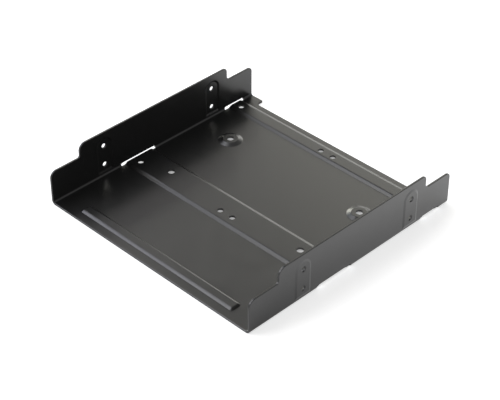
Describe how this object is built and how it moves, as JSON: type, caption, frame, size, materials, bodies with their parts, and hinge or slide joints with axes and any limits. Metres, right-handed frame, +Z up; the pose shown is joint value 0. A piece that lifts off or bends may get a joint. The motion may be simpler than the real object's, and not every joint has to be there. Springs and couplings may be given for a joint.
{
  "type": "drive bay adapter bracket",
  "caption": "Low folded steel tray with two stepped side walls, raised bands across its floor and round-holed screw patterns for fitting smaller drives in a wide drive bay.",
  "frame": {"origin": "on the underside of the floor, midway between the walls and midway along them", "axes": "+Z up from the floor, X across from wall to wall, Y along the walls with the squared full-width edge at -Y"},
  "size_m": [0.1468, 0.147, 0.028],
  "materials": {
    "black_paint": "satin black paint on folded steel sheet"
  },
  "bodies": {
    "root": {"bracket": "black_paint"}
  },
  "joints": []
}
